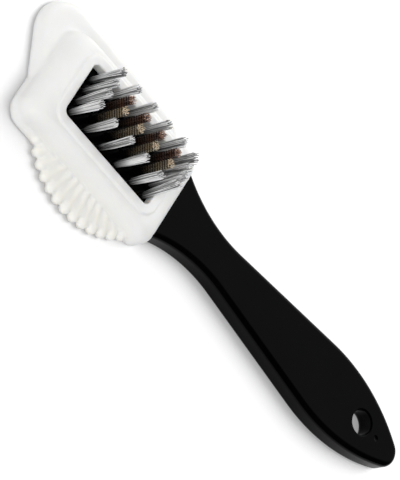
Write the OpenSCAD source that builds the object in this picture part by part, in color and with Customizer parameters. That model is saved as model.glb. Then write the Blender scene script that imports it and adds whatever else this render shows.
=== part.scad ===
// Suede brush. It lies on its back, and the bristles point up.
// X runs from the middle of the head to the hang hole, and Y from the rib fan to the blade.
// The origin is the middle of the head's flat back.

/* [Head block] */
// Length of the block that holds the tufts
block_l = 50; // [40:0.5:62]
// Width of the block
block_w = 27; // [22.5:0.1:33]
// Corner radius of the block
block_r = 4; // [2:0.25:5]
// Height of the groove's lower edge above the back
groove_z = 2.2; // [1.5:0.1:3]
// Width of the groove round the block that holds the sleeve
groove_h = 2; // [1.4:0.1:2.4]
// Depth of that groove
groove_depth = 1.4; // [0.8:0.1:2]

/* [Handle] */
// Thickness of the handle and of the head block
handle_t = 7; // [6:0.25:9]
// Radius of the long soft edges of the handle
handle_round = 1.75; // [0.8:0.05:2.2]
// How far the handle is set in from each side of the block
root_step = 0.5; // [0.3:0.1:1.5]
// Distance from the block's end to the narrowest place of the neck
neck_from_block = 25.5; // [23:0.5:32]
// Width of the neck
neck_w = 14.1; // [11.5:0.1:17]
// Radius of the hollow sides of the neck
neck_r = 49; // [40:1:60]
// Distance from the neck to the widest place of the grip
grip_from_neck = 54; // [45:0.5:65]
// Width of the grip
grip_w = 24.7; // [20:0.1:30]
// Radius of the full sides of the grip
side_r = 58; // [48:1:70]
// Radius of the butt end
nose_r = 5; // [4:0.1:6]

/* [Hang hole] */
// Distance from the tip of the butt end to the middle of the hang hole
hang_from_tip = 16.8; // [12:0.1:22]
// Diameter of the hang hole's straight wall
hang_d = 7.2; // [5:0.1:9]
// Radius of the rounded edge at each mouth of the hang hole
hang_round = 0.6; // [0.3:0.05:1]

/* [Rubber sleeve] */
// Play between the sleeve and what it is stretched over
sleeve_fit = 0.05; // [0.02:0.01:0.1]
// How far the lip reaches over the block's face at each end
lip_end = 5.9; // [4.5:0.1:7]
// How far the lip reaches over the block's face at each side
lip_side = 3.5; // [2.8:0.1:4.2]
// Corner radius of the bristle opening
open_r = 2; // [1:0.1:3]
// Width of the flat rim round the opening
rim_band = 3; // [2:0.1:3.4]
// Height of the rim above the block's face
rim_h = 3.5; // [2.9:0.1:5]
// Height of the step from the rim down to the shoulder
rim_step = 0.6; // [0.3:0.1:1]
// Wall of the sleeve outside the block at the handle end
end_wall = 3.2; // [2.6:0.1:4]
// Wall at the shoulder's foot, outside the block's far end
far_wall = 4.2; // [3.4:0.1:5.2]
// Wall at the shoulder's foot, outside the block's sides
side_wall = 3.6; // [3:0.1:4.4]
// Height of the skirt that the shoulder stands on
skirt_h = 3.4; // [2.8:0.1:4.1]
// Width of the sloping edge of the skirt
skirt_slope = 2; // [1:0.1:2.4]
// Thickness of the skirt's and the blade's edge
edge_t = 1.6; // [1:0.1:2.2]
// Height of the soft lower edge of the skirt, the blade and the fan
edge_low = 0.5; // [0.3:0.1:0.8]

/* [Blade] */
// Radius of the round tip of the blade
tip_r = 13.3; // [11:0.1:16]
// Distance of the tip's centre from the block's end
tip_out = 0.2; // [-2:0.1:2]
// How far inside the block's side the tip's centre lies
tip_in = 1.85; // [0:0.05:3]
// How far the blade stands out from the shoulder's foot beside the head
blade_out = 6.5; // [4:0.1:8]

/* [Rib fan] */
// Number of ribs in the fan
ribs = 13; // [9:2:15]
// Angle from one rib to the next
rib_pitch = 7.63; // [6.4:0.01:8.2]
// Distance of the fan's centre from the middle of the head towards the handle
fan_x = 2.1; // [0:0.1:4]
// Distance of the fan's centre from the middle line, towards the blade
fan_y = 1.75; // [0:0.05:3]
// How far the lobes of the rib tips stand out from the shoulder's foot
fan_out = 9.95; // [8:0.05:12]
// Depth of the notch between two lobes
notch = 1.33; // [0.8:0.01:1.6]
// Height of a rib where it leaves the shoulder
rib_root_h = 5.2; // [4.2:0.1:6.2]
// Height of a rib at its tip
rib_tip_h = 3; // [2.5:0.1:4]
// Thickness of the web between the ribs
web_t = 2.3; // [1.5:0.1:2.8]

/* [Tufts] */
// Gap between the far end of the opening and the first row's holes
first_gap = 1.75; // [1:0.05:3]
// Gap between the handle end of the opening and the last row's holes
end_gap = 0.05; // [0.05:0.05:1.6]
// Distance from the last row to its neighbour, which is less than the other rows'
last_pitch = 5.7; // [5:0.1:6.4]
// Gap between each side of the opening and the outer columns' holes
side_gap = 2.125; // [1.5:0.025:2.5]
// Diameter of a tuft hole
hole_d = 2.7; // [2.2:0.1:3.3]
// Depth of a tuft hole
hole_depth = 4.8; // [3.5:0.1:5.4]
// Play between a tuft's root and its hole
root_fit = 0.03; // [0.01:0.01:0.08]
// Free length of the nylon tufts
nylon_len = 15.4; // [12:0.1:20]
// Free length of the brass tufts
brass_len = 14.8; // [12:0.1:20]
// Strands in a nylon tuft
nylon_strands = 17; // [12:1:18]
// Strands in a brass tuft
brass_strands = 11; // [9:1:14]
// Thickness of a nylon strand, corner to corner
nylon_d = 0.36; // [0.24:0.02:0.4]
// Thickness of a brass wire, corner to corner
brass_d = 0.34; // [0.24:0.02:0.36]
// How much wider a nylon tuft is at its tips than at its root
nylon_flare = 1.55; // [1.2:0.05:1.7]
// How much wider a brass tuft is at its tips than at its root
brass_flare = 1.3; // [1:0.05:1.5]
// How far the last row leans towards the handle at its tips
last_lean = 1.3; // [0:0.1:2]
// Length of one wave of the brass wires
crimp_pitch = 3.7; // [2.6:0.1:5]
// Height of that wave from side to side
crimp_h = 0.5; // [0.2:0.05:0.6]

/* [Anchors] */
// Thickness of the metal strip that pins a tuft into its hole
anchor_t = 0.35; // [0.25:0.05:0.5]
// Height of that strip
anchor_h = 1.7; // [1.2:0.1:2]
// How far each end of the strip bites into the wall of the hole
anchor_bite = 0.2; // [0.1:0.05:0.3]

/* [Hidden] */
cut = 1;
root_w = block_w - 2 * root_step;
neck_x = block_l / 2 + neck_from_block;
grip_x = neck_x + grip_from_neck;
rim_z = handle_t + rim_h;
shoulder_z = rim_z - rim_step;
open_l = block_l - 2 * lip_end;
open_w = block_w - 2 * lip_side;
end_x = block_l / 2 + end_wall;
foot_far = block_l / 2 + far_wall;
foot_side = block_w / 2 + side_wall;
fan_in = foot_side + fan_y - 3.5;
fan_r = foot_side + fan_y + fan_out - notch;
hole_floor = handle_t - hole_depth;
first_row = first_gap + hole_d / 2 - open_l / 2;
last_row = open_l / 2 - hole_d / 2 - end_gap;
row_pitch = (last_row - last_pitch - first_row) / 4;
col_pitch = (open_w - 2 * side_gap - hole_d) / 3;
rows = [for (i = [0:4]) first_row + i * row_pitch, last_row];
cols = [for (i = [-1.5:1:1.5]) i * col_pitch];
places = [for (r = [0:5], c = [0:3]) [r, c]];
nylon_places = [for (p = places) if (!is_brass(p)) p];
brass_places = [for (p = places) if (is_brass(p)) p];
nylon_names = [for (i = [1:len(nylon_places)]) str("nylon_tuft_", i)];
brass_names = [for (i = [1:len(brass_places)]) str("brass_tuft_", i)];

// The brass tufts are the inner ones, and nylon stands all round them
function is_brass(p) = p[0] > 0 && p[0] < 5 && (p[1] == 1 || p[1] == 2);
function along(from, to, count) = [for (i = [0:count]) from + (to - from) * i / count];
function on_circle(centre, r, angle) = centre + r * [cos(angle), sin(angle)];

// Side of the handle from inside the block to the tip of the butt, pulled in by an inset:
// a hollow arc at the neck, the straight flank that touches it, a full arc, and the nose.
neck_c = [neck_x, neck_w / 2 + neck_r];
side_c = [grip_x, grip_w / 2 - side_r];
between = side_c - neck_c;
flank = atan2(between[1], between[0]) + asin((neck_r + side_r) / norm(between));
nose_c = [grip_x + sqrt(pow(side_r - nose_r, 2) - pow(side_c[1], 2)), 0];
nose_from = atan2(-side_c[1], nose_c[0] - grip_x);
hang_x = nose_c[0] + nose_r - hang_from_tip;
shaft_from = block_l / 2 - 3;
function neck_start(inset) = 180 - asin((root_w / 2 - inset - neck_c[1]) / (neck_r + inset));
function half_side(inset) = concat(
    [[shaft_from, root_w / 2 - inset]],
    [for (a = along(neck_start(inset), 270 + flank, 10)) on_circle(neck_c, neck_r + inset, a)],
    [for (a = along(90 + flank, nose_from, 12)) on_circle(side_c, side_r - inset, a)],
    [for (a = along(nose_from, 0, 6)) if (a < nose_from) on_circle(nose_c, nose_r - inset, a)]);

// Levels of the soft edge: how far each is pulled in, and its height
edge_levels = concat(
    [for (a = along(0, 90, 4)) [handle_round * (1 - sin(a)), handle_round * (1 - cos(a))]],
    [for (a = along(90, 0, 4)) [handle_round * (1 - sin(a)), handle_t - handle_round * (1 - cos(a))]]);

// Skin over rings of points, one above the other, each clockwise as seen from above
module loft(rings) {
    count = len(rings[0]);
    top = (len(rings) - 1) * count;
    walls = [for (k = [0:count:top - count], i = [0:count - 1]) let (j = (i + 1) % count)
        [k + i, k + j, k + count + j, k + count + i]];
    floors = [for (i = [0:floor(count / 2) - 1]) let (j = count - 1 - i) j - i < 3
        ? [for (k = [j:-1:i]) k]
        : [i, j, j - 1, i + 1]];
    lids = [for (f = floors) [for (i = [len(f) - 1:-1:0]) top + f[i]]];
    polyhedron([for (r = rings) each r], concat(walls, [for (f = floors) if (len(f) > 2) f],
        [for (f = lids) if (len(f) > 2) f]), convexity = 6);
}

// Ring round discs, like a belt: each disc is its [x, y, radius, steps], and they stand clockwise
function touch(a, b) = let (d = [b[0] - a[0], b[1] - a[1]])
    atan2(d[1], d[0]) + 90 + asin((b[2] - a[2]) / norm(d));
function belt(discs, inset, z) = let (n = len(discs)) [for (i = [0:n - 1])
    let (disc = discs[i], from = touch(discs[(i + n - 1) % n], disc),
        sweep = (from - touch(disc, discs[(i + 1) % n]) + 720) % 360)
    for (k = [0:disc[3]]) let (a = from - sweep * k / disc[3])
        [disc[0] + (disc[2] - inset) * cos(a), disc[1] + (disc[2] - inset) * sin(a), z]];

module shaft() {
    loft([for (e = edge_levels) let (half = half_side(e[0]), last = len(half) - 1) concat(
        [for (p = half) [p[0], p[1], e[1]]],
        [for (i = [last - 1:-1:0]) [half[i][0], -half[i][1], e[1]]])]);
}

module rounded_rect(l, w, r) {
    square([l - 2 * r, w], center = true);
    square([l, w - 2 * r], center = true);
    for (x = [-1, 1], y = [-1, 1])
        translate([x * (l / 2 - r), y * (w / 2 - r)]) circle(r, $fn = 48);
}

// Block that the tufts stand in. A play makes it larger, for the pocket of the sleeve.
module block(play = 0, below = 0) {
    l = block_l + 2 * play;
    w = block_w + 2 * play;
    difference() {
        translate([0, 0, -below])
            linear_extrude(handle_t + play + below) rounded_rect(l, w, block_r + play);
        translate([0, 0, groove_z + play]) linear_extrude(groove_h - 2 * play) difference() {
            square([l + cut, w + cut], center = true);
            rounded_rect(l - 2 * groove_depth, w - 2 * groove_depth, block_r - groove_depth);
        }
    }
}

module tuft_holes() {
    for (p = places) translate([rows[p[0]], cols[p[1]], 0]) {
        translate([0, 0, hole_floor]) cylinder(d = hole_d, h = hole_depth + cut, $fn = 32);
        anchor(root_fit);
    }
}

// Strip along the row's length that pins a tuft into its hole. A play makes it larger, for its seat.
module anchor(play = 0) {
    translate([0, 0, hole_floor + root_fit + anchor_h / 2])
        cube([hole_d + 2 * anchor_bite, anchor_t, anchor_h] + 2 * play * [1, 1, 1], center = true);
}

module hang_hole() {
    mouth_r = hang_d / 2 + hang_round;
    translate([hang_x, 0, 0]) {
        translate([0, 0, -cut]) cylinder(d = hang_d, h = handle_t + 2 * cut, $fn = 64);
        for (z = [0, 1]) translate([0, 0, z * handle_t]) mirror([0, 0, z]) rotate_extrude($fn = 64)
            difference() {
                square([mouth_r, hang_round]);
                translate([mouth_r, hang_round]) circle(hang_round, $fn = 32);
            }
    }
}

module handle() color([0.07, 0.07, 0.07]) {
    difference() {
        block();
        tuft_holes();
    }
    difference() {
        shaft();
        hang_hole();
    }
}

// Discs at the corners of a level of the sleeve, with larger ones at the far end
function corners(far, near, side, far_r = 5, near_r = 3.5) = [
    [far_r - far, side - far_r, far_r, 6], [near - near_r, side - near_r, near_r, 6],
    [near - near_r, near_r - side, near_r, 6], [far_r - far, far_r - side, far_r, 6]];

// The shoulder falls from the rim to its foot as a quarter of an ellipse
module shoulder() {
    lead = 0.5;
    l = open_l / 2 + rim_band + lead;
    w = open_w / 2 + rim_band + lead;
    foot_near = end_x + 1.4;
    falls = [for (a = along(90, 0, 6))
        let (out = sin(a), up = cos(a))
        belt(corners(l + (foot_far - l) * out, l + (foot_near - l) * out, w + (foot_side - w) * out),
            0, skirt_h + (shoulder_z - skirt_h) * up)];
    loft(concat([belt(corners(foot_far, foot_near, foot_side), 0, -cut)], falls));
}

module rim() {
    soft = 0.35;
    l = open_l / 2 + rim_band;
    discs = corners(l, l, open_w / 2 + rim_band, open_r + rim_band, open_r + rim_band);
    loft([belt(discs, 0, shoulder_z - cut), belt(discs, 0, rim_z - soft),
        belt(discs, soft / 3, rim_z - soft / 3), belt(discs, soft, rim_z)]);
}

// Plate with a rounded lower edge, an upright edge, and a slope up to its flat top
module edged_plate(discs, slope, top) {
    loft([belt(discs, edge_low + cut, -cut), belt(discs, 0, edge_low), belt(discs, 0, edge_t),
        belt(discs, slope * 0.3, (edge_t + 2 * top) / 3), belt(discs, slope, top)]);
}

// The skirt stands out past the shoulder's foot, most of all at the far corner by the ribs
module skirt() {
    far_out = 1.1;
    near_in = 1.2;
    fan_far_out = 2.8;
    fan_near_out = 1.7;
    far_r = 3.9;
    near_r = 3.4;
    fan_near_r = 2.7;
    fan_near_in = 4.3;
    far_x = far_r - foot_far - far_out;
    near_x = end_x - near_r;
    near_side = foot_side - near_in - near_r;
    edged_plate([[far_x, foot_side - far_r, far_r, 6], [near_x, near_side, near_r, 6],
        [near_x, -near_side, near_r, 6],
        [block_l / 2 - fan_near_in, fan_near_r - foot_side - fan_near_out, fan_near_r, 5],
        [far_x, far_r - foot_side - fan_far_out, far_r, 6]], skirt_slope, skirt_h);
}

// Smooth blade along the side across from the ribs, with a round tip past the far end
module blade() {
    slope = 3;
    above_skirt = 0.15;
    beside_r = 6;
    end_r = 3.4;
    end_out = 1;
    tip_side = block_w / 2 - tip_in;
    edged_plate([[-block_l / 2 - tip_out, tip_side, tip_r, 16],
        [end_x / 2, foot_side + blade_out - beside_r, beside_r, 6],
        [end_x - end_r, foot_side - end_r - end_out, end_r, 6],
        [end_r - foot_far - end_out, -tip_side / 3, end_r, 6]], slope, skirt_h + above_skirt);
}

// Fan of ribs: each is tall and narrow at the shoulder and runs out low and round at its tip, and a
// thin web joins them. A ring is one step on the way out: along the ribs' backs, then back below them.
rib_steps = [-1, -0.8, -0.45, 0, 0.45, 0.8];
fan_steps = concat([for (i = [0:ribs - 1], u = rib_steps) [i - (ribs - 1) / 2 + u / 2, u]], [[ribs / 2, 1]]);
function rib_back(r) = let (wall = foot_side + fan_y)
    rib_root_h + (rib_tip_h - rib_root_h) * min(1, (r - wall) / (fan_r - wall));
function fan_top(r, u, fall) = let (squareness = 4 - 2 * min(1, (r - fan_in) / (fan_r - fan_in)))
    edge_low + (web_t - edge_low + (rib_back(r) - web_t) * sqrt(1 - pow(abs(u), squareness))) * fall;
function fan_ring(out, fall) = let (pts = [for (s = fan_steps)
    let (r = fan_in + (fan_r + notch * sqrt(1 - s[1] * s[1]) - fan_in) * out)
    [on_circle([fan_x, fan_y], r, s[0] * rib_pitch - 90), fan_top(r, s[1], fall)]])
    concat([for (q = pts) [q[0][0], q[0][1], q[1]]],
        [for (i = [len(pts) - 1:-1:0]) [pts[i][0][0], pts[i][0][1], -cut / 2]]);
module rib_fan() {
    end_from = 0.88;
    loft(concat([for (out = along(0, end_from, 4)) fan_ring(out, 1)],
        [for (a = [35, 65, 90]) fan_ring(end_from + (1 - end_from) * sin(a), cos(a))]));
}

module shaft_outline(play) {
    half = half_side(-play);
    polygon(concat(half, [for (i = [len(half) - 1:-1:0]) [half[i][0], -half[i][1]]]));
}

module rubber_sleeve() color([0.94, 0.93, 0.91]) difference() {
    union() {
        shoulder();
        rim();
        skirt();
        blade();
        rib_fan();
    }
    block(sleeve_fit, 2 * cut);
    translate([0, 0, -2 * cut]) linear_extrude(2 * cut + handle_t + sleeve_fit) shaft_outline(sleeve_fit);
    translate([0, 0, handle_t]) linear_extrude(rim_h + cut) rounded_rect(open_l, open_w, open_r);
    translate([end_x, -foot_side - cut, -2 * cut])
        cube([foot_side, 2 * (foot_side + cut), rim_z + 3 * cut]);
    translate([0, 0, -2 * cut]) cube([3 * foot_far, 4 * foot_far, 4 * cut], center = true);
}

// Even spread of the strands over a round root, as [x, y] for strand i of a tuft
function spread(i, count, r) = let (golden = 137.508)
    r * sqrt((i + 0.5) / count) * [cos(i * golden), sin(i * golden)];
// Small change of a strand's length, the same at every build
function uneven(i, seed) = 0.3 * sin(i * 97 + seed * 61);

module tuft_root() {
    difference() {
        translate([0, 0, hole_floor + root_fit])
            cylinder(d = hole_d - 2 * root_fit, h = hole_depth - root_fit, $fn = 32);
        anchor(root_fit);
    }
}

// Straight strands that all lead away from one point, so that none crosses another
module nylon_tuft(place) {
    lean = place[0] == 5 ? last_lean : 0;
    root_r = (hole_d - nylon_d) / 2 - root_fit;
    sunk = 0.4;
    color([0.86, 0.87, 0.87]) translate([rows[place[0]], cols[place[1]], 0]) {
        tuft_root();
        for (i = [0:nylon_strands - 1]) {
            foot = spread(i, nylon_strands, root_r);
            run = foot * (nylon_flare - 1) + [lean, 0];
            rise = nylon_len + sunk + uneven(i, place[0] * 4 + place[1]);
            translate([foot[0], foot[1], handle_t - sunk])
                rotate([0, atan2(norm(run), rise), atan2(run[1], run[0])])
                    cylinder(d = nylon_d, h = norm([run[0], run[1], rise]), $fn = 3);
        }
    }
}

// One crimped wire: it steps from side to side at every half wave, on the way from foot to tip
module crimped_wire(foot, tip, rise) {
    bends = round(2 * rise / crimp_pitch);
    ring = [for (a = [0:120:240]) brass_d / 2 * [cos(a), sin(a)]];
    sunk = 0.4;
    centres = concat([[foot[0], foot[1], -sunk]], [for (k = [0:bends]) let (t = k / bends)
        [foot[0] + (tip[0] - foot[0]) * t + (k % 2 - 0.5) * crimp_h,
            foot[1] + (tip[1] - foot[1]) * t, rise * t]]);
    points = [for (c = centres, r = ring) c + [r[0], r[1], 0]];
    last = 3 * (len(centres) - 1);
    walls = [for (k = [0:3:last - 3], i = [0:2]) let (j = (i + 1) % 3) each
        [[k + i, k + 3 + i, k + 3 + j], [k + i, k + 3 + j, k + j]]];
    polyhedron(points, concat(walls, [[0, 1, 2], [last + 2, last + 1, last]]), convexity = 8);
}

// The waves of a tuft's wires lie side by side, so that none crosses another
module brass_tuft(place) {
    root_r = (hole_d - brass_d - crimp_h) / 2 - root_fit;
    color([0.58, 0.45, 0.27]) translate([rows[place[0]], cols[place[1]], 0]) {
        tuft_root();
        for (i = [0:brass_strands - 1]) {
            foot = spread(i, brass_strands, root_r);
            translate([0, 0, handle_t])
                crimped_wire(foot, foot * brass_flare, brass_len + uneven(i, place[0] * 4 + place[1]));
        }
    }
}

module tuft_anchors() color([0.72, 0.72, 0.74])
    for (p = places) translate([rows[p[0]], cols[p[1]], 0]) anchor();

handle();
rubber_sleeve();
tuft_anchors();
for (i = [0:len(nylon_places) - 1])
    nylon_tuft(nylon_places[i]);
for (i = [0:len(brass_places) - 1])
    brass_tuft(brass_places[i]);
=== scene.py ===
import math
import random

import bmesh
import bpy
from mathutils import Matrix, Vector


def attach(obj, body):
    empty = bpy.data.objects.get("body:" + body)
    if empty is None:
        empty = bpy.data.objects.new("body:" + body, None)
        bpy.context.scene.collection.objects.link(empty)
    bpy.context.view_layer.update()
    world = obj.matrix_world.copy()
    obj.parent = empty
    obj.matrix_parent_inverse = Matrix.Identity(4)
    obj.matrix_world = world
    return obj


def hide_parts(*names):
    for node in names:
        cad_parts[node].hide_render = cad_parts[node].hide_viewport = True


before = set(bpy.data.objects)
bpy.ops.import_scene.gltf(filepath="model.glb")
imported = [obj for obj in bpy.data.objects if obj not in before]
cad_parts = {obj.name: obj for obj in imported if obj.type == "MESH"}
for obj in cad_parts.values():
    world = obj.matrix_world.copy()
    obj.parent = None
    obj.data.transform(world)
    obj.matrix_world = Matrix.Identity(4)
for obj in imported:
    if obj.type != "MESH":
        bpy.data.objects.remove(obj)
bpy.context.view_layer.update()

# The handle and the head block are one injection moulding in glossy black plastic. The block has the
# tuft holes in its face, and the waisted handle leaves it at the same height, with softly rounded edges.
# The hang hole's mouths are rolled, and the dimple between it and the tip is the mark of the gate.
MM = 0.001
HANDLE_T = 7 * MM
SOFT_EDGE = 1.75 * MM
SIDE_CENTRE, SIDE_R = (104.5 * MM, -45.65 * MM), 58 * MM
NECK_CENTRE, NECK_R = (50.5 * MM, 56.05 * MM), 49 * MM
NOSE_CENTRE = (131.427 * MM, 0)
BLOCK_L, BLOCK_W, BLOCK_R = 50 * MM, 27 * MM, 4 * MM
ROOT_HALF = 13 * MM
# Past the block's end, the long edges of the handle are soft
SOFT_FROM_X = 26 * MM
ROWS = [x * MM for x in (-16, -9, -2, 5, 12, 17.7)]
COLUMNS = [y * MM for y in (-6.525, -2.175, 2.175, 6.525)]
HOLE_R, HOLE_DEPTH = 1.35 * MM, 4.8 * MM
HANG_X, HANG_R, HANG_ROUND, HANG_ROUND_BELOW = 119.627 * MM, 3.8 * MM, 0.5 * MM, 2.5 * MM
ROLL_STEPS = 9
GATE_X, GATE_Y, GATE_R, GATE_DEPTH = 126.4 * MM, -0.1 * MM, 0.95 * MM, 0.32 * MM


def new_piece(add, name="cutter", **size):
    """A primitive on its own, in edit mode."""
    bpy.ops.object.select_all(action="DESELECT")
    add(**size)
    bpy.context.object.name = name
    bpy.ops.object.mode_set(mode="EDIT")
    return bpy.context.object


def close_piece(piece):
    """Leaves edit mode, with the faces pointing out and the place in the mesh."""
    bpy.ops.mesh.select_all(action="SELECT")
    bpy.ops.mesh.normals_make_consistent(inside=False)
    bpy.ops.object.mode_set(mode="OBJECT")
    bpy.ops.object.transform_apply(location=True, rotation=True, scale=True)
    return piece


def pick(piece, kind, wanted):
    """Selects the faces or edges of a piece whose corners all pass the test."""
    bpy.ops.mesh.select_mode(type=kind)
    bpy.ops.mesh.select_all(action="DESELECT")
    shape = bmesh.from_edit_mesh(piece.data)
    for item in {"FACE": shape.faces, "EDGE": shape.edges}[kind]:
        if all(wanted(v.co) for v in item.verts):
            item.select_set(True)
    bmesh.update_edit_mesh(piece.data)


def finish_with(piece, kind, **values):
    """Adds a modifier with those values and applies it."""
    bpy.ops.object.select_all(action="DESELECT")
    piece.select_set(True)
    bpy.context.view_layer.objects.active = piece
    modifier = piece.modifiers.new(kind.lower(), kind)
    for key, value in values.items():
        setattr(modifier, key, value)
    bpy.ops.object.modifier_apply(modifier=modifier.name)


def cut_with(piece, cutter):
    """Takes the cutter's shape out of the piece, and leaves the cutter."""
    finish_with(piece, "BOOLEAN", operation="DIFFERENCE", solver="EXACT", object=cutter)


def cut_away(piece, cutter):
    """Takes the cutter's shape out of the piece, and then the cutter goes."""
    cut_with(piece, cutter)
    bpy.data.objects.remove(cutter)


def line_to(start, end):
    """Draws a line on from the selected corner, and gives its end."""
    bpy.ops.mesh.extrude_vertices_move(
        TRANSFORM_OT_translate={"value": (end[0] - start[0], end[1] - start[1], 0)})
    return end


def arc_to(start, centre, clockwise, steps):
    """Swings the selected corner round a centre, by an angle in degrees, and gives its end."""
    bpy.ops.mesh.spin(steps=steps, angle=math.radians(clockwise), center=(*centre, 0), axis=(0, 0, 1))
    a = math.atan2(start[1] - centre[1], start[0] - centre[0]) - math.radians(clockwise)
    r = math.dist(start, centre)
    return centre[0] + r * math.cos(a), centre[1] + r * math.sin(a)


def moulding_outline(name, play, low, high):
    """Plate with the outline of block and handle, grown by a play, from one height to another."""
    piece = new_piece(bpy.ops.mesh.primitive_plane_add, name, size=MM,
                      location=(-BLOCK_L / 2 - play, 0, high))
    bpy.ops.mesh.select_mode(type="VERT")
    bpy.ops.mesh.merge(type="CENTER")
    corner = (BLOCK_L / 2 - BLOCK_R, BLOCK_W / 2 - BLOCK_R)
    at = line_to((-BLOCK_L / 2 - play, 0), (-BLOCK_L / 2 - play, corner[1]))
    at = arc_to(at, (-corner[0], corner[1]), 90, steps=10)
    at = line_to(at, (corner[0], at[1]))
    root_y = ROOT_HALF + play
    short_of = math.degrees(math.asin((root_y - corner[1]) / (BLOCK_R + play)))
    at = arc_to(at, corner, 90 - short_of, steps=4)
    neck_r, side_r = NECK_R - play, SIDE_R + play
    run = (SIDE_CENTRE[0] - NECK_CENTRE[0], SIDE_CENTRE[1] - NECK_CENTRE[1])
    flank = math.degrees(math.atan2(run[1], run[0]) + math.asin((NECK_R + SIDE_R) / math.hypot(*run)))
    dip = math.degrees(math.asin((NECK_CENTRE[1] - root_y) / neck_r))
    at = line_to(at, (NECK_CENTRE[0] - neck_r * math.cos(math.radians(dip)), root_y))
    at = arc_to(at, NECK_CENTRE, dip - 90 - flank, steps=36)
    turn = math.radians(90 + flank)
    at = line_to(at, (SIDE_CENTRE[0] + side_r * math.cos(turn), SIDE_CENTRE[1] + side_r * math.sin(turn)))
    nose_from = math.degrees(math.atan2(-SIDE_CENTRE[1], NOSE_CENTRE[0] - SIDE_CENTRE[0]))
    at = arc_to(at, SIDE_CENTRE, 90 + flank - nose_from, steps=44)
    arc_to(at, NOSE_CENTRE, nose_from, steps=14)
    bpy.ops.object.mode_set(mode="OBJECT")
    bpy.ops.object.transform_apply(location=True, rotation=True, scale=True)
    finish_with(piece, "MIRROR", use_axis=(False, True, False), use_mirror_merge=True,
                merge_threshold=0.02 * MM)
    bpy.ops.object.mode_set(mode="EDIT")
    bpy.ops.mesh.select_all(action="SELECT")
    bpy.ops.mesh.remove_doubles(threshold=0.01 * MM)
    bpy.ops.mesh.edge_face_add()
    bpy.ops.mesh.extrude_region_move(TRANSFORM_OT_translate={"value": (0, 0, low - high)})
    return close_piece(piece)


handle = moulding_outline("handle_moulding", 0, 0, HANDLE_T)
bpy.ops.object.mode_set(mode="EDIT")
for on_edge in (lambda c: c.x > SOFT_FROM_X and c.z > HANDLE_T * 0.9,
                lambda c: c.x > SOFT_FROM_X and c.z < HANDLE_T * 0.1):
    pick(handle, "EDGE", on_edge)
    bpy.ops.mesh.bevel(offset=SOFT_EDGE, segments=8, affect="EDGES", clamp_overlap=False)
close_piece(handle)

straight = HANDLE_T - HANG_ROUND - HANG_ROUND_BELOW
spool = new_piece(bpy.ops.mesh.primitive_cylinder_add, vertices=96, radius=HANG_R, depth=straight,
                  location=(HANG_X, 0, HANG_ROUND_BELOW + straight / 2))
for up, roll in ((1, HANG_ROUND), (-1, HANG_ROUND_BELOW)):
    pick(spool, "FACE", lambda c, up=up: c.z * up > straight * 0.4)
    radius = HANG_R
    for step in range(1, ROLL_STEPS + 1):
        a, b = math.radians(90 / ROLL_STEPS * step), math.radians(90 / ROLL_STEPS * (step - 1))
        wide = HANG_R + roll * (1 - math.cos(a))
        bpy.ops.mesh.extrude_region_move(TRANSFORM_OT_translate={
            "value": (0, 0, up * roll * (math.sin(a) - math.sin(b)))})
        bpy.ops.transform.resize(value=(wide / radius, wide / radius, 1))
        radius = wide
    bpy.ops.mesh.extrude_region_move(TRANSFORM_OT_translate={"value": (0, 0, up * MM)})
cut_away(handle, close_piece(spool))

gate_ball = (GATE_R ** 2 + GATE_DEPTH ** 2) / (2 * GATE_DEPTH)
cut_away(handle, close_piece(new_piece(
    bpy.ops.mesh.primitive_uv_sphere_add, segments=48, ring_count=24, radius=gate_ball,
    location=(GATE_X, GATE_Y, HANDLE_T + gate_ball - GATE_DEPTH))))

spots = [(x, y) for x in ROWS for y in COLUMNS]
drill = new_piece(bpy.ops.mesh.primitive_cylinder_add, vertices=28, radius=HOLE_R, depth=2 * HOLE_DEPTH,
                  location=(*spots[0], HANDLE_T))
for spot in spots[1:]:
    bpy.ops.mesh.primitive_cylinder_add(vertices=28, radius=HOLE_R, depth=2 * HOLE_DEPTH,
                                        location=(*spot, HANDLE_T))
cut_away(handle, close_piece(drill))
bpy.ops.object.shade_smooth_by_angle(angle=math.radians(30))
finish_with(handle, "WEIGHTED_NORMAL", keep_sharp=True, weight=100)


def shader_group(name, inputs, output, kind="NodeSocketFloat"):
    """An empty shader node group with named inputs and one output, and its two end nodes."""
    group = bpy.data.node_groups.new(name, "ShaderNodeTree")
    for label, socket in inputs.items():
        group.interface.new_socket(label, in_out="INPUT", socket_type=socket)
    group.interface.new_socket(output, in_out="OUTPUT", socket_type=kind)
    return group, group.nodes.new("NodeGroupInput"), group.nodes.new("NodeGroupOutput")


def join_up(tree, *pairs):
    """Links outputs to inputs in a node tree."""
    for start, end in pairs:
        tree.links.new(start, end)


def place_group(nodes, links, group, **values):
    """Places a group in a material, over the piece's own coordinates, and gives its output."""
    node = nodes.new("ShaderNodeGroup")
    node.node_tree = group
    if "Position" in node.inputs:
        place = nodes.new("ShaderNodeTexCoord")
        links.new(place.outputs["Object"], node.inputs["Position"])
    for label, value in values.items():
        node.inputs[label.replace("_", " ")].default_value = value
    return node.outputs[0]


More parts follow.
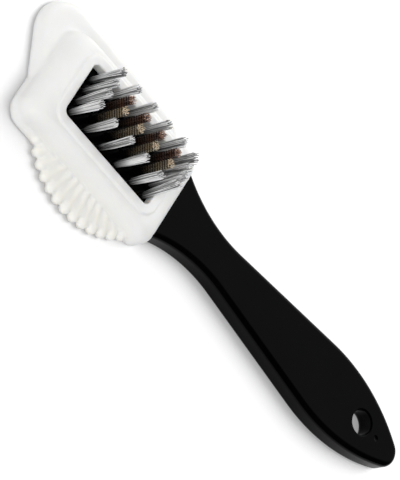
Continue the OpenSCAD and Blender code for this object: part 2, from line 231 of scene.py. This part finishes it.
# Cloudy value between a least and a most, over patches of a size, longer along a stretch
clouds, given, result = shader_group("uneven_finish", {
    "Position": "NodeSocketVector", "Stretch": "NodeSocketVector", "Per Metre": "NodeSocketFloat",
    "Least": "NodeSocketFloat", "Most": "NodeSocketFloat"}, "Value")
mapping = clouds.nodes.new("ShaderNodeMapping")
patches = clouds.nodes.new("ShaderNodeTexNoise")
patches.inputs["Detail"].default_value = 4
patches.inputs["Roughness"].default_value = 0.6
span = clouds.nodes.new("ShaderNodeMapRange")
span.inputs["From Min"].default_value = 0.32
span.inputs["From Max"].default_value = 0.68
join_up(clouds,
        (given.outputs["Position"], mapping.inputs["Vector"]),
        (given.outputs["Stretch"], mapping.inputs["Scale"]),
        (mapping.outputs["Vector"], patches.inputs["Vector"]),
        (given.outputs["Per Metre"], patches.inputs["Scale"]),
        (patches.outputs["Fac"], span.inputs["Value"]),
        (given.outputs["Least"], span.inputs["To Min"]),
        (given.outputs["Most"], span.inputs["To Max"]),
        (span.outputs["Result"], result.inputs["Value"]))

# Fine skin of a moulded part: soft orange peel with a finer grain on it
skin, given, result = shader_group("moulded_skin", {
    "Position": "NodeSocketVector", "Peel Per Metre": "NodeSocketFloat",
    "Grain Per Metre": "NodeSocketFloat", "Height": "NodeSocketFloat"}, "Normal", "NodeSocketVector")
peel = skin.nodes.new("ShaderNodeTexNoise")
grain = skin.nodes.new("ShaderNodeTexNoise")
both = skin.nodes.new("ShaderNodeMath")
both.operation = "MULTIPLY_ADD"
both.inputs[1].default_value = 0.35
rise = skin.nodes.new("ShaderNodeBump")
rise.inputs["Strength"].default_value = 0.6
join_up(skin,
        (given.outputs["Position"], peel.inputs["Vector"]),
        (given.outputs["Position"], grain.inputs["Vector"]),
        (given.outputs["Peel Per Metre"], peel.inputs["Scale"]),
        (given.outputs["Grain Per Metre"], grain.inputs["Scale"]),
        (grain.outputs["Fac"], both.inputs[0]),
        (peel.outputs["Fac"], both.inputs[2]),
        (both.outputs["Value"], rise.inputs["Height"]),
        (given.outputs["Height"], rise.inputs["Distance"]),
        (rise.outputs["Normal"], result.inputs["Normal"]))


def shader(name, base, roughness, **sockets):
    """A material with one Principled shader, and its nodes and links to add to."""
    material = bpy.data.materials.new(name)
    material.use_nodes = True
    nodes, links = material.node_tree.nodes, material.node_tree.links
    principled = nodes["Principled BSDF"]
    principled.inputs["Base Color"].default_value = (*base, 1)
    principled.inputs["Roughness"].default_value = roughness
    for socket, value in sockets.items():
        principled.inputs[socket.replace("_", " ")].default_value = value
    return material, nodes, links, principled


def mix_colour(nodes, links, share, first, second):
    """Colour between two, by a share that varies over the surface."""
    node = nodes.new("ShaderNodeMix")
    node.data_type = "RGBA"
    links.new(share, node.inputs[0])
    for socket, colour in ((6, first), (7, second)):
        if isinstance(colour, tuple):
            node.inputs[socket].default_value = (*colour, 1)
        else:
            links.new(colour, node.inputs[socket])
    return node.outputs[2]


black, nodes, links, principled = shader("black_moulding", (0.001, 0.001, 0.0011), 0.16,
                                         IOR=1.2, Specular_IOR_Level=0.25)
cloudy = place_group(nodes, links, clouds, Stretch=(1, 1, 1), Per_Metre=60, Least=0, Most=1)
links.new(mix_colour(nodes, links, cloudy, (0.0007, 0.0007, 0.0008), (0.0016, 0.0016, 0.0017)),
          principled.inputs["Base Color"])
links.new(place_group(nodes, links, clouds, Stretch=(0.2, 1, 1), Per_Metre=260, Least=0.12, Most=0.2),
          principled.inputs["Roughness"])
links.new(place_group(nodes, links, skin, Peel_Per_Metre=500, Grain_Per_Metre=2600, Height=0.012 * MM),
          principled.inputs["Normal"])
handle.data.materials.append(black)
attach(handle, "root")
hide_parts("handle")

# The rubber sleeve is one soft off-white moulding, stretched over the block. A shoulder rises to the rim
# round the bristles, thirteen ribs and a short one fan out on one side, and a smooth blade lies on the
# other. Its bodies are built apart and melted into one skin, which gives the mould's small radii.
RIM_Z, SHOULDER_Z = 10.5 * MM, 9.75 * MM
RIM_ROUND = 0.3 * MM
# The opening for the bristles, and the width of the rim round it
OPEN_L, OPEN_W, OPEN_R, RIM_BAND = 38.2 * MM, 20 * MM, 2 * MM, 3 * MM
# The shoulder's foot, from the middle to the far end, to each side and to the handle, and its cut end
FOOT_FAR, FOOT_SIDE, FOOT_NEAR, FOOT_NEAR_R = 29.2 * MM, 17.1 * MM, 28.7 * MM, 5 * MM
END_X = 28.2 * MM
SHOULDER_STEPS = 12
SKIRT_H = 3.4 * MM
BLADE_H = SKIRT_H + 0.15 * MM
# The ribs turn round the fan's centre, and their tips stand on its radius
FAN_X, FAN_Y, FAN_R = 2.1 * MM, 1.75 * MM, 27.0 * MM
RIBS, RIB_PITCH_DEG, SHORT_RIB = 13, 7.63, 0.9
RIB_ROOT_R, RIB_ROOT_Z, RIB_ROOT_INSIDE = 0.9 * MM, 3.15 * MM, 3.5 * MM
RIB_TIP_R, RIB_TIP_Z, RIB_TIP_FLAT = 1.8 * MM, 1.5 * MM, 0.84
RIB_SOLE_R, RIB_SOLE_H = 1.5 * MM, 1.2 * MM
POCKET_PLAY, FACE_PLAY = 0.1 * MM, 0.05 * MM
SLIVER = 0.02 * MM
RUBBER_VOXEL = 0.28 * MM


def hull_of(posts, name="body", vertices=48):
    """Hull round upright round posts, each (x, y, radius, low, high)."""
    x, y, r, low, high = posts[0]
    piece = new_piece(bpy.ops.mesh.primitive_cylinder_add, name, vertices=vertices, radius=r,
                      depth=high - low, location=(x, y, (low + high) / 2))
    for x, y, r, low, high in posts[1:]:
        bpy.ops.mesh.primitive_cylinder_add(vertices=vertices, radius=r, depth=high - low,
                                            location=(x, y, (low + high) / 2))
    bpy.ops.mesh.select_all(action="SELECT")
    bpy.ops.mesh.convex_hull()
    return close_piece(piece)


def corner_posts(far, near, side, low, high, far_r=5 * MM, near_r=3.5 * MM):
    """Posts in the corners of a rounded block that reaches from -far to near, and to side on both sides."""
    return [(far_r - far, s * (side - far_r), far_r, low, high) for s in (-1, 1)] + [
        (near - near_r, s * (side - near_r), near_r, low, high) for s in (-1, 1)]


# Edge of a plate as high as the skirt, as insets and heights in mm: soft below and full round above
PLATE_EDGE = ((0.45, 0.02), (0.2, 0.15), (0, 0.7), (0.25, 1.7), (0.75, 2.5), (1.5, 3.05), (2.4, 3.4))


def plate_posts(discs, top):
    """Posts of a plate with that edge, scaled to the height of its top."""
    return [(x, y, r - inset * MM, z * MM * top / SKIRT_H - SLIVER, z * MM * top / SKIRT_H)
            for x, y, r in discs for inset, z in PLATE_EDGE]


# The shoulder's top edge lies half a millimetre outside the rim, and its curve ends at the skirt
lead = RIM_BAND + 0.5 * MM
top_l, top_w = OPEN_L / 2 + lead, OPEN_W / 2 + lead
shoulder_posts = corner_posts(FOOT_FAR, FOOT_NEAR, FOOT_SIDE, 0, SKIRT_H, near_r=FOOT_NEAR_R)
for step in range(SHOULDER_STEPS):
    a = math.radians(90 / SHOULDER_STEPS * step)
    out, up = math.sin(a), math.cos(a)
    z = SKIRT_H + (SHOULDER_Z - SKIRT_H) * up
    near_r = lead + (FOOT_NEAR_R - lead) * out
    shoulder_posts += corner_posts(top_l + (FOOT_FAR - top_l) * out, top_l + (FOOT_NEAR - top_l) * out,
                                   top_w + (FOOT_SIDE - top_w) * out, z - SLIVER, z, near_r=near_r)
shoulder = hull_of(shoulder_posts, "rubber_sleeve_skin")
bpy.ops.object.mode_set(mode="EDIT")
bpy.ops.mesh.select_all(action="SELECT")
bpy.ops.mesh.bisect(plane_co=(END_X, 0, 0), plane_no=(1, 0, 0), clear_outer=True, use_fill=True)
close_piece(shoulder)

rim_l, rim_w, rim_r = OPEN_L / 2 + RIM_BAND, OPEN_W / 2 + RIM_BAND, OPEN_R + RIM_BAND
rim = hull_of(
    corner_posts(rim_l, rim_l, rim_w, RIM_Z - 2 * MM, RIM_Z - RIM_ROUND, rim_r, rim_r)
    + [(x, y, r - RIM_ROUND, low, high)
       for x, y, r, low, high in corner_posts(rim_l, rim_l, rim_w, RIM_Z - MM, RIM_Z, rim_r, rim_r)])

SKIRT_DISCS = [(x * MM, y * MM, r * MM) for x, y, r in (
    (-26.1, 13.2, 3.9), (24.8, 12.5, 3.4), (23.6, -12.1, 3.4), (20.2, -15.6, 2.7), (-24.3, -12.9, 5.6))]
BLADE_DISCS = [(x * MM, y * MM, r * MM) for x, y, r in (
    (-26.9, 13.7, 11.2), (14.1, 17.6, 6), (24.8, 12.7, 3.4), (-26.6, -3.6, 3.3))]
skirt = hull_of(plate_posts(SKIRT_DISCS, SKIRT_H), vertices=64)
blade = hull_of(plate_posts(BLADE_DISCS, BLADE_H), vertices=96)

# A thin web joins the ribs. Its edge, as insets and heights in mm, stands at every half pitch
WEB_R = 26.9
WEB_EDGE = ((0, 1.6), (0.35, 2.4), (1.2, 2.95), (2.4, 3.1))
web_turns = [math.radians(RIB_PITCH_DEG * (i / 2 - RIBS / 2) - 90) for i in range(2 * RIBS + 1)]
web = hull_of([(FAN_X, FAN_Y, MM, 0, 1.0 * MM)] + [
    (FAN_X + (WEB_R - inset) * MM * math.cos(a), FAN_Y + (WEB_R - inset) * MM * math.sin(a), 0.3 * MM,
     0, z * MM) for a in web_turns for inset, z in WEB_EDGE], vertices=12)

# A rib's root is a tall narrow post with a round top, and its tip is a low wide drop
root_x = FAN_X + (FOOT_SIDE + FAN_Y - RIB_ROOT_INSIDE)
tip_x = FAN_X + FAN_R
rib = new_piece(bpy.ops.mesh.primitive_uv_sphere_add, segments=24, ring_count=12, radius=RIB_ROOT_R,
                location=(root_x, FAN_Y, RIB_ROOT_Z))
bpy.ops.mesh.primitive_cylinder_add(vertices=24, radius=RIB_ROOT_R, depth=2 * MM,
                                    location=(root_x, FAN_Y, MM))
bpy.ops.mesh.primitive_uv_sphere_add(segments=32, ring_count=16, radius=RIB_TIP_R,
                                     location=(tip_x, FAN_Y, RIB_TIP_Z), scale=(1, 1, RIB_TIP_FLAT))
bpy.ops.mesh.primitive_cylinder_add(vertices=32, radius=RIB_SOLE_R, depth=RIB_SOLE_H,
                                    location=(tip_x, FAN_Y, RIB_SOLE_H / 2))
bpy.ops.mesh.select_all(action="SELECT")
bpy.ops.mesh.convex_hull()
close_piece(rib)
fingers = []
centre = Matrix.Translation((FAN_X, FAN_Y, 0))
for i in range(-1, RIBS):
    finger = rib.copy()
    finger.data = rib.data.copy()
    bpy.context.collection.objects.link(finger)
    turn = Matrix.Rotation(math.radians(RIB_PITCH_DEG * (i - (RIBS - 1) / 2) - 90), 4, "Z")
    shorter = Matrix.Diagonal((SHORT_RIB, SHORT_RIB, 1, 1) if i < 0 else (1, 1, 1, 1))
    finger.data.transform(centre @ turn @ shorter @ centre.inverted())
    fingers.append(finger)
bpy.data.objects.remove(rib)

mouth = new_piece(bpy.ops.mesh.primitive_plane_add, size=MM, location=(0, 0, HANDLE_T - FACE_PLAY))
bpy.ops.transform.resize(value=(OPEN_L / MM, OPEN_W / MM, 1))
bpy.ops.mesh.bevel(offset=OPEN_R, segments=10, affect="VERTICES")
bpy.ops.mesh.select_all(action="SELECT")
bpy.ops.mesh.extrude_region_move(TRANSFORM_OT_translate={"value": (0, 0, 5 * MM)})
close_piece(mouth)
pocket = moulding_outline("pocket", POCKET_PLAY, -2 * MM, HANDLE_T + FACE_PLAY)
bodies = [shoulder, rim, skirt, blade, web] + fingers
for body in bodies:
    cut_with(body, pocket)
    if body in (shoulder, rim):
        cut_with(body, mouth)
bpy.data.objects.remove(pocket)
bpy.data.objects.remove(mouth)
bpy.ops.object.select_all(action="DESELECT")
for body in bodies:
    body.select_set(True)
bpy.context.view_layer.objects.active = shoulder
bpy.ops.object.join()
sleeve = shoulder
finish_with(sleeve, "REMESH", mode="VOXEL", voxel_size=RUBBER_VOXEL)
finish_with(sleeve, "SMOOTH", factor=0.5, iterations=4)


def clear_of(value, start, run):
    """Rises from 0 to 1 over a run past a start."""
    return min(1, max(0, (value - start) / run))


def rib_turn(x, y):
    """Turn round the fan's centre, in rib pitches from its middle."""
    return math.degrees(math.atan2(x - FAN_X, FAN_Y - y)) / RIB_PITCH_DEG


# The large radii: between shoulder, skirt and blade, away from the rim, the ribs and the lower edge
FAN_ROOT_Y, FAN_MARGIN_DEG = -15 * MM, 3
RIM_CLEAR, RIM_RUN = 1.1 * MM, 2 * MM
LOW_CLEAR, LOW_RUN = 1.2 * MM, 1.2 * MM
END_CLEAR, END_RUN = 1.5 * MM, MM
soft = sleeve.vertex_groups.new(name="soft")
for v in sleeve.data.vertices:
    x, y, z = v.co
    if y < FAN_ROOT_Y and abs(rib_turn(x, y)) <= RIBS / 2 + FAN_MARGIN_DEG / RIB_PITCH_DEG:
        continue
    past_rim = clear_of(max(abs(x) - rim_l, abs(y) - rim_w), RIM_CLEAR, RIM_RUN)
    above_foot = clear_of(z, LOW_CLEAR, LOW_RUN)
    before_end = clear_of(-x, END_CLEAR - END_X, END_RUN)
    weight = past_rim * above_foot * before_end
    if weight:
        soft.add([v.index], weight, "REPLACE")
finish_with(sleeve, "SMOOTH", factor=0.5, iterations=60, vertex_group="soft")
sleeve.vertex_groups.clear()
bpy.ops.object.shade_smooth_by_angle(angle=math.radians(50))

# The rubber is creamier in the fan, most of all in the valleys between the ribs
CREAM_FROM, CREAM_RUN, CREAM_ON_RIBS = 16.5 * MM, 2 * MM, 0.45
cream = []
for v in sleeve.data.vertices:
    turn = rib_turn(v.co.x, v.co.y)
    valley = 0.5 - 0.5 * math.cos(2 * math.pi * (turn + 0.5)) if abs(turn) < RIBS / 2 else 0
    zone = clear_of(-v.co.y, CREAM_FROM, CREAM_RUN) * clear_of(RIBS / 2 - abs(turn), -0.5, 1)
    cream.append(zone * (CREAM_ON_RIBS + (1 - CREAM_ON_RIBS) * valley))
sleeve.data.attributes.new("cream", "FLOAT", "POINT").data.foreach_set("value", cream)

rubber, nodes, links, principled = shader(
    "white_rubber", (0.86, 0.855, 0.84), 0.5, IOR=1.5, Subsurface_Weight=0.45,
    Subsurface_Radius=(0.6, 0.55, 0.45), Subsurface_Scale=3 * MM)
mottle = place_group(nodes, links, clouds, Stretch=(1, 1, 1), Per_Metre=110, Least=0, Most=1)
creamy = nodes.new("ShaderNodeAttribute")
creamy.attribute_name = "cream"
plain_rubber = mix_colour(nodes, links, mottle, (0.85, 0.85, 0.835), (0.88, 0.88, 0.87))
links.new(mix_colour(nodes, links, creamy.outputs["Fac"], plain_rubber, (0.92, 0.905, 0.845)),
          principled.inputs["Base Color"])
links.new(place_group(nodes, links, clouds, Stretch=(1, 1, 1), Per_Metre=420, Least=0.42, Most=0.58),
          principled.inputs["Roughness"])
links.new(place_group(nodes, links, skin, Peel_Per_Metre=900, Grain_Per_Metre=4200, Height=0.015 * MM),
          principled.inputs["Normal"])
sleeve.data.materials.clear()
sleeve.data.materials.append(rubber)
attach(sleeve, "root")
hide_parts("rubber_sleeve")

# Flat steel strips pin the folded strands into the holes. They lie out of sight below the strands,
# so their shape is the one in the frame, and only their finish is given here.
steel, nodes, links, principled = shader("anchor_steel", (0.62, 0.62, 0.63), 0.35, Metallic=1.0)
links.new(place_group(nodes, links, clouds, Stretch=(0.1, 1, 1), Per_Metre=900, Least=0.28, Most=0.42),
          principled.inputs["Roughness"])
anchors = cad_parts["tuft_anchors"]
anchors.data.materials.clear()
anchors.data.materials.append(steel)

# Nylon tufts stand all round the head: straight clear strands, each tuft spreading a little from its
# hole to its tips. They are trimmed shorter towards the fan. In the row nearest the handle the tufts
# lean together and their strands are unruly.
STRANDS, STRAND_R = 48, 0.11 * MM
NYLON_TOP, NYLON_FOOT, NYLON_ROOT = 22.3 * MM, 4.3 * MM, 0.85 * MM
NYLON_FLARE, NYLON_BOW, NYLON_UNEVEN = 0.45 * MM, 0.10 * MM, 0.4 * MM
NYLON_UNRULY, LAST_UNRULY = 0.2 * MM, 0.45 * MM
GOLDEN = math.radians(137.508)
# By column: how much is trimmed off, the share of grey strands, and the last row's lean. Part of the grey
# share is the strands' random tone, and its rise from the fan's side to the blade's side is painted shade
TRIMS, TRIM_PLAY = [1.1 * MM, 0.4 * MM, 0.1 * MM, 0.1 * MM], 0.4
GREY_SHARES_WITH_SHADE = [0.3, 0.4, 0.5, 0.5]
LAST_LEAN = [(0.5 * MM, 2.6 * MM), (0.3 * MM, 1.0 * MM), (0, -0.3 * MM), (0, -0.8 * MM)]
GREY_TONES, PALE_TONES = (0, 0.45), (0.8, 1)
NYLON_SEED = 100

strand = new_piece(bpy.ops.mesh.primitive_circle_add, "strand", vertices=5, radius=1,
                   fill_type="NGON", location=(0, 0, 0))
for rise, narrow in ((0.2, 1), (0.2, 1), (0.2, 1), (0.2, 1), (0.185, 1), (0.015, 0.55)):
    bpy.ops.mesh.extrude_region_move(TRANSFORM_OT_translate={"value": (0, 0, rise)})
    bpy.ops.transform.resize(value=(narrow, narrow, 1))
close_piece(strand)


def golden_spot(i, count, radius):
    """Spot i of an even spread over a disc: its share of the radius, its place and its turn."""
    out, turn = math.sqrt((i + 0.5) / count), i * GOLDEN
    return out, (radius * out * math.cos(turn), radius * out * math.sin(turn)), turn


def bundle(name, pattern, places, crest=None):
    """One mesh of many copies of a pattern, each led along its own way, with its tone and its crests."""
    points, faces, tones, crests = [], [], [], []
    for way, tone in places:
        first = len(points)
        points += [way(v.co.x, v.co.y, v.co.z) for v in pattern.data.vertices]
        faces += [[first + i for i in f.vertices] for f in pattern.data.polygons]
        tones += [tone] * len(pattern.data.vertices)
        if crest:
            crests += [crest(v.co.z) for v in pattern.data.vertices]
    mesh = bpy.data.meshes.new(name)
    mesh.from_pydata(points, [], faces)
    mesh.attributes.new("tone", "FLOAT", "POINT").data.foreach_set("value", tones)
    if crest:
        mesh.attributes.new("crest", "FLOAT", "POINT").data.foreach_set("value", crests)
    piece = bpy.data.objects.new(name, mesh)
    bpy.context.collection.objects.link(piece)
    mesh.polygons.foreach_set("use_smooth", [True] * len(faces))
    return piece


def nylon_way(foot, run, bow, top):
    """Where a corner u, v of a strand's section lies, at a share t of the way from foot to tip."""
    def way(u, v, t):
        z = NYLON_FOOT + (top - NYLON_FOOT) * t
        free = max(0, (z - HANDLE_T) / (NYLON_TOP - HANDLE_T))
        arch = 4 * free * (1 - free)
        return (foot[0] + run[0] * free + bow[0] * arch + STRAND_R * u,
                foot[1] + run[1] * free + bow[1] * arch + STRAND_R * v, z)
    return way


def nylon_places(x, y, draw, trim, lean, unruly, grey_share_with_shade):
    """The way and the tone of each strand of a tuft at x, y."""
    for i in range(STRANDS):
        out, foot, turn = golden_spot(i, STRANDS, NYLON_ROOT)
        run = (NYLON_FLARE * out * math.cos(turn) + lean[0] + draw.gauss(0, unruly),
               NYLON_FLARE * out * math.sin(turn) + lean[1] + draw.gauss(0, unruly))
        bow = (draw.gauss(0, NYLON_BOW), draw.gauss(0, NYLON_BOW))
        top = NYLON_TOP - trim - abs(draw.gauss(0, NYLON_UNEVEN))
        tone = draw.uniform(*(GREY_TONES if draw.random() < grey_share_with_shade else PALE_TONES))
        yield nylon_way((x + foot[0], y + foot[1]), run, bow, top), tone


# Share of the light that gets down to a height between the strands, from none to all
root_shade, given, result = shader_group("root_shade", {
    "Position": "NodeSocketVector", "Dark Height": "NodeSocketFloat",
    "Lit Height": "NodeSocketFloat"}, "Lit")
height = root_shade.nodes.new("ShaderNodeSeparateXYZ")
ramp = root_shade.nodes.new("ShaderNodeMapRange")
join_up(root_shade,
        (given.outputs["Position"], height.inputs["Vector"]),
        (height.outputs["Z"], ramp.inputs["Value"]),
        (given.outputs["Dark Height"], ramp.inputs["From Min"]),
        (given.outputs["Lit Height"], ramp.inputs["From Max"]),
        (ramp.outputs["Result"], result.inputs["Lit"]))

nylon, nodes, links, principled = shader("clear_nylon", (0.8, 0.81, 0.82), 0.22, IOR=1.53)
tone = nodes.new("ShaderNodeAttribute")
tone.attribute_name = "tone"
pale = mix_colour(nodes, links, tone.outputs["Fac"], (0.1, 0.105, 0.1), (1.0, 1.0, 1.0))
# Painted shade: the strands turn nearly black towards their roots, where little light gets down between
# them
lit = place_group(nodes, links, root_shade, Dark_Height=7.5 * MM, Lit_Height=14.5 * MM)
links.new(mix_colour(nodes, links, lit, (0.012, 0.012, 0.012), pale), principled.inputs["Base Color"])
links.new(place_group(nodes, links, clouds, Stretch=(1, 1, 0.2), Per_Metre=700, Least=0.16, Most=0.34),
          principled.inputs["Roughness"])

brass_spots = [(r, c) for r in range(1, 5) for c in (1, 2)]
all_spots = [(r, c) for r in range(len(ROWS)) for c in range(len(COLUMNS))]
nylon_spots = [spot for spot in all_spots if spot not in brass_spots]
for count, (row, column) in enumerate(nylon_spots, 1):
    draw = random.Random(NYLON_SEED + count)
    trim = TRIMS[column] + draw.uniform(0, TRIM_PLAY) * MM
    last = row == len(ROWS) - 1
    lean, unruly = (LAST_LEAN[column], LAST_UNRULY) if last else ((0, 0), NYLON_UNRULY)
    tuft = bundle(f"nylon_bristles_{count}", strand, nylon_places(
        ROWS[row], COLUMNS[column], draw, trim, lean, unruly, GREY_SHARES_WITH_SHADE[column]))
    tuft.data.materials.append(nylon)
    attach(tuft, "root")
    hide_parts(f"nylon_tuft_{count}")
bpy.data.objects.remove(strand)

# Brass tufts fill the middle of the head: crimped wires, whose waves lie in step. They are a little
# shorter than the nylon, and those of the column nearer the blade are darker and redder.
WIRES, WIRE_R, BRASS_ROOT = 42, 0.115 * MM, 0.9 * MM
BRASS_TOP, BRASS_FOOT, BRASS_TRIM = 21.8 * MM, 4.3 * MM, 0.15 * MM
BRASS_FLARE, BRASS_UNRULY = 0.42 * MM, 0.12 * MM
WAVE, WAVE_H = 1.05 * MM, 0.2 * MM
# Directions in the block's plane: the way the waves swing, and the way in which they fall in step
SWING = (0.9, 0.4)
NEST, NEST_PLAY = (-0.89, -0.66), 0.05
HALF_WAVES = round(2 * (BRASS_TOP - BRASS_FOOT) / WAVE)
LEVEL_FROM = 0.99
BRASS_SEED = 200

wire = new_piece(bpy.ops.mesh.primitive_circle_add, "wire", vertices=3, radius=1, fill_type="NGON",
                 location=(0, 0, 0))
for step in range(HALF_WAVES):
    bpy.ops.mesh.extrude_region_move(TRANSFORM_OT_translate={"value": (0, 0, 1 / HALF_WAVES)})
close_piece(wire)


def on_crest(t):
    """1 where the wire swings to one side and 0 where it swings to the other."""
    return round(t * HALF_WAVES) % 2


def wire_way(foot, run, slip):
    """Where a corner u, v of a wire's section lies, at a share t of the way from foot to tip."""
    def way(u, v, t):
        z = BRASS_FOOT + (BRASS_TOP - BRASS_TRIM - BRASS_FOOT) * t
        free = max(0, (z - HANDLE_T) / (BRASS_TOP - HANDLE_T))
        swing = WAVE_H * (1 if on_crest(t) else -1)
        return (foot[0] + run[0] * free + swing * SWING[0] + WIRE_R * u,
                foot[1] + run[1] * free + swing * SWING[1] + WIRE_R * v,
                z + (slip if 0 < t < LEVEL_FROM else 0))
    return way


def wire_places(x, y, draw):
    """The way and the tone of each wire of a tuft at x, y. A slip along it brings its waves in step."""
    for i in range(WIRES):
        out, foot, turn = golden_spot(i, WIRES, BRASS_ROOT)
        run = (BRASS_FLARE * out * math.cos(turn) + draw.gauss(0, BRASS_UNRULY),
               BRASS_FLARE * out * math.sin(turn) + draw.gauss(0, BRASS_UNRULY))
        nest = (NEST[0] * (foot[0] + run[0]) + NEST[1] * (foot[1] + run[1])
                + draw.uniform(-NEST_PLAY, NEST_PLAY) * MM)
        slip = (nest + WAVE / 2) % WAVE - WAVE / 2
        yield wire_way((x + foot[0], y + foot[1]), run, slip), draw.random()


# Colour of crimped wire, with its waves painted in light and shade: the crests carry the wire's colour,
# from dark to bright by its tone, and between them lies a painted shade that is nearly black
crimp, given, result = shader_group("crimped_wire", {
    "Trough": "NodeSocketColor", "Dark": "NodeSocketColor", "Bright": "NodeSocketColor"},
    "Colour", "NodeSocketColor")
tone = crimp.nodes.new("ShaderNodeAttribute")
tone.attribute_name = "tone"
crest = crimp.nodes.new("ShaderNodeAttribute")
crest.attribute_name = "crest"
gap = crimp.nodes.new("ShaderNodeMapRange")
gap.inputs["From Min"].default_value = 0.3
lit_crest_colour = mix_colour(crimp.nodes, crimp.links, tone.outputs["Fac"], given.outputs["Dark"],
                    given.outputs["Bright"])
join_up(crimp,
        (crest.outputs["Fac"], gap.inputs["Value"]),
        (mix_colour(crimp.nodes, crimp.links, gap.outputs["Result"], given.outputs["Trough"], lit_crest_colour),
         result.inputs["Colour"]))


def wire_metal(name, trough_shade, dark, bright):
    """Material of crimped wire, with painted shade in the troughs of its waves and towards the roots."""
    metal, nodes, links, principled = shader(name, bright, 0.3, Metallic=0.5)
    # Painted shade: the wire turns nearly black towards its roots
    lit = place_group(nodes, links, root_shade, Dark_Height=9.5 * MM, Lit_Height=17 * MM)
    waves = place_group(nodes, links, crimp, Trough=(*trough_shade, 1), Dark=(*dark, 1), Bright=(*bright, 1))
    links.new(mix_colour(nodes, links, lit, (0.006, 0.004, 0.003), waves),
              principled.inputs["Base Color"])
    links.new(place_group(nodes, links, clouds, Stretch=(1, 1, 1), Per_Metre=1200, Least=0.22, Most=0.4),
              principled.inputs["Roughness"])
    return metal


metals = {1: wire_metal("crimped_brass", (0.004, 0.002, 0.001), (0.85, 0.6, 0.36), (1.0, 0.9, 0.7)),
          2: wire_metal("crimped_dark_brass", (0.002, 0.001, 0.001), (0.2, 0.09, 0.07), (0.66, 0.4, 0.28))}
for count, (row, column) in enumerate(brass_spots, 1):
    tuft = bundle(f"brass_bristles_{count}", wire,
                  wire_places(ROWS[row], COLUMNS[column], random.Random(BRASS_SEED + count)),
                  crest=on_crest)
    tuft.data.materials.append(metals[column])
    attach(tuft, "root")
    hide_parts(f"brass_tuft_{count}")
bpy.data.objects.remove(wire)

# The studio: a plain white table in an even white surround. A soft key lamp stands behind the brush and
# a soft fill beside the camera, and neither lights the table or the handle. The table has two lamps of
# its own, which give the brush its contact shadow, and the handle is lit by the surround alone.
SURROUND, BACKDROP = 0.54, 1.0
PAPER_LIFT = 0.3
WALL_DARK, WALL_BRIGHT = 0.02, 1.25
floor = new_piece(bpy.ops.mesh.primitive_plane_add, "table_top", size=4, location=(0, 0, -0.02 * MM))
close_piece(floor)
paper, nodes, links, principled = shader("white_paper", (0.5, 0.5, 0.5), 0.9, Specular_IOR_Level=0.0,
                                         Emission_Color=(1, 1, 1, 1))
rays = nodes.new("ShaderNodeLightPath")
seen = rays.outputs["Is Camera Ray"]
for ray in ("Is Glossy Ray", "Is Transmission Ray"):
    either = nodes.new("ShaderNodeMath")
    either.operation = "ADD"
    either.use_clamp = True
    links.new(seen, either.inputs[0])
    links.new(rays.outputs[ray], either.inputs[1])
    seen = either.outputs[0]
lift = nodes.new("ShaderNodeMath")
lift.operation = "MULTIPLY"
lift.inputs[1].default_value = PAPER_LIFT
links.new(seen, lift.inputs[0])
links.new(lift.outputs[0], principled.inputs["Emission Strength"])
floor.data.materials.append(paper)

# What shines on the plastic is a white wall behind the brush that fades into a dark room
world = bpy.data.worlds.new("surround")
bpy.context.scene.world = world
world.use_nodes = True
nodes, links = world.node_tree.nodes, world.node_tree.links
rays = nodes.new("ShaderNodeLightPath")
direction = nodes.new("ShaderNodeTexCoord")
softbox = nodes.new("ShaderNodeVectorMath")
softbox.operation = "DOT_PRODUCT"
softbox.inputs[1].default_value = (0.1, 0.95, 0.3)
links.new(direction.outputs["Generated"], softbox.inputs[0])
walls = nodes.new("ShaderNodeMapRange")
walls.inputs["From Min"].default_value = 0.4
walls.inputs["From Max"].default_value = 0.95
walls.inputs["To Min"].default_value = WALL_DARK
walls.inputs["To Max"].default_value = WALL_BRIGHT
links.new(softbox.outputs["Value"], walls.inputs["Value"])
plain = nodes.new("ShaderNodeMapRange")
plain.inputs["To Min"].default_value = SURROUND
plain.inputs["To Max"].default_value = BACKDROP
links.new(rays.outputs["Is Camera Ray"], plain.inputs["Value"])
glossy = nodes.new("ShaderNodeMix")
links.new(rays.outputs["Is Glossy Ray"], glossy.inputs[0])
links.new(plain.outputs["Result"], glossy.inputs[2])
links.new(walls.outputs["Result"], glossy.inputs[3])
nodes["Background"].inputs["Color"].default_value = (1, 1, 1, 1)
links.new(glossy.outputs[0], nodes["Background"].inputs["Strength"])


def soft_lamp(name, towards, strength, width, lit, state):
    """Distant lamp of a width in degrees that lights only, or all but, some objects."""
    bpy.ops.object.select_all(action="DESELECT")
    bpy.ops.object.light_add(type="SUN")
    lamp = bpy.context.object
    lamp.name = name
    lamp.data.energy = strength
    lamp.data.angle = math.radians(width)
    lamp.rotation_euler = Vector(towards).to_track_quat("Z", "Y").to_euler()
    group = bpy.data.collections.new(name + "_reach")
    for item in lit:
        group.objects.link(item)
    for entry in group.collection_objects:
        entry.light_linking.link_state = state
    lamp.light_linking.receiver_collection = group


soft_lamp("key_lamp", (0.3, 1.0, 0.4), 1.3, 40, [floor, handle], "EXCLUDE")
soft_lamp("fill_lamp", (-0.42, -0.55, 0.7), 1.38, 60, [floor, handle], "EXCLUDE")
soft_lamp("table_lamp", (0.6, 0.4, 1.0), 3.1, 40, [floor], "INCLUDE")
soft_lamp("low_table_lamp", (0.5, 0.75, 0.52), 2.0, 30, [floor], "INCLUDE")

# The camera has the place, turn in degrees and lens in mm that were fitted to the photograph
CAMERA_PLACE = (-0.491860, -0.717932, 0.957706)
CAMERA_TURN = (11.495, -41.953, 36.446)
CAMERA_LENS = 343.2
bpy.ops.object.camera_add(location=CAMERA_PLACE, rotation=[math.radians(a) for a in CAMERA_TURN])
camera = bpy.context.object
camera.data.lens = CAMERA_LENS
camera.data.clip_end = 20
bpy.context.scene.camera = camera
bpy.context.scene.view_settings.view_transform = "Standard"
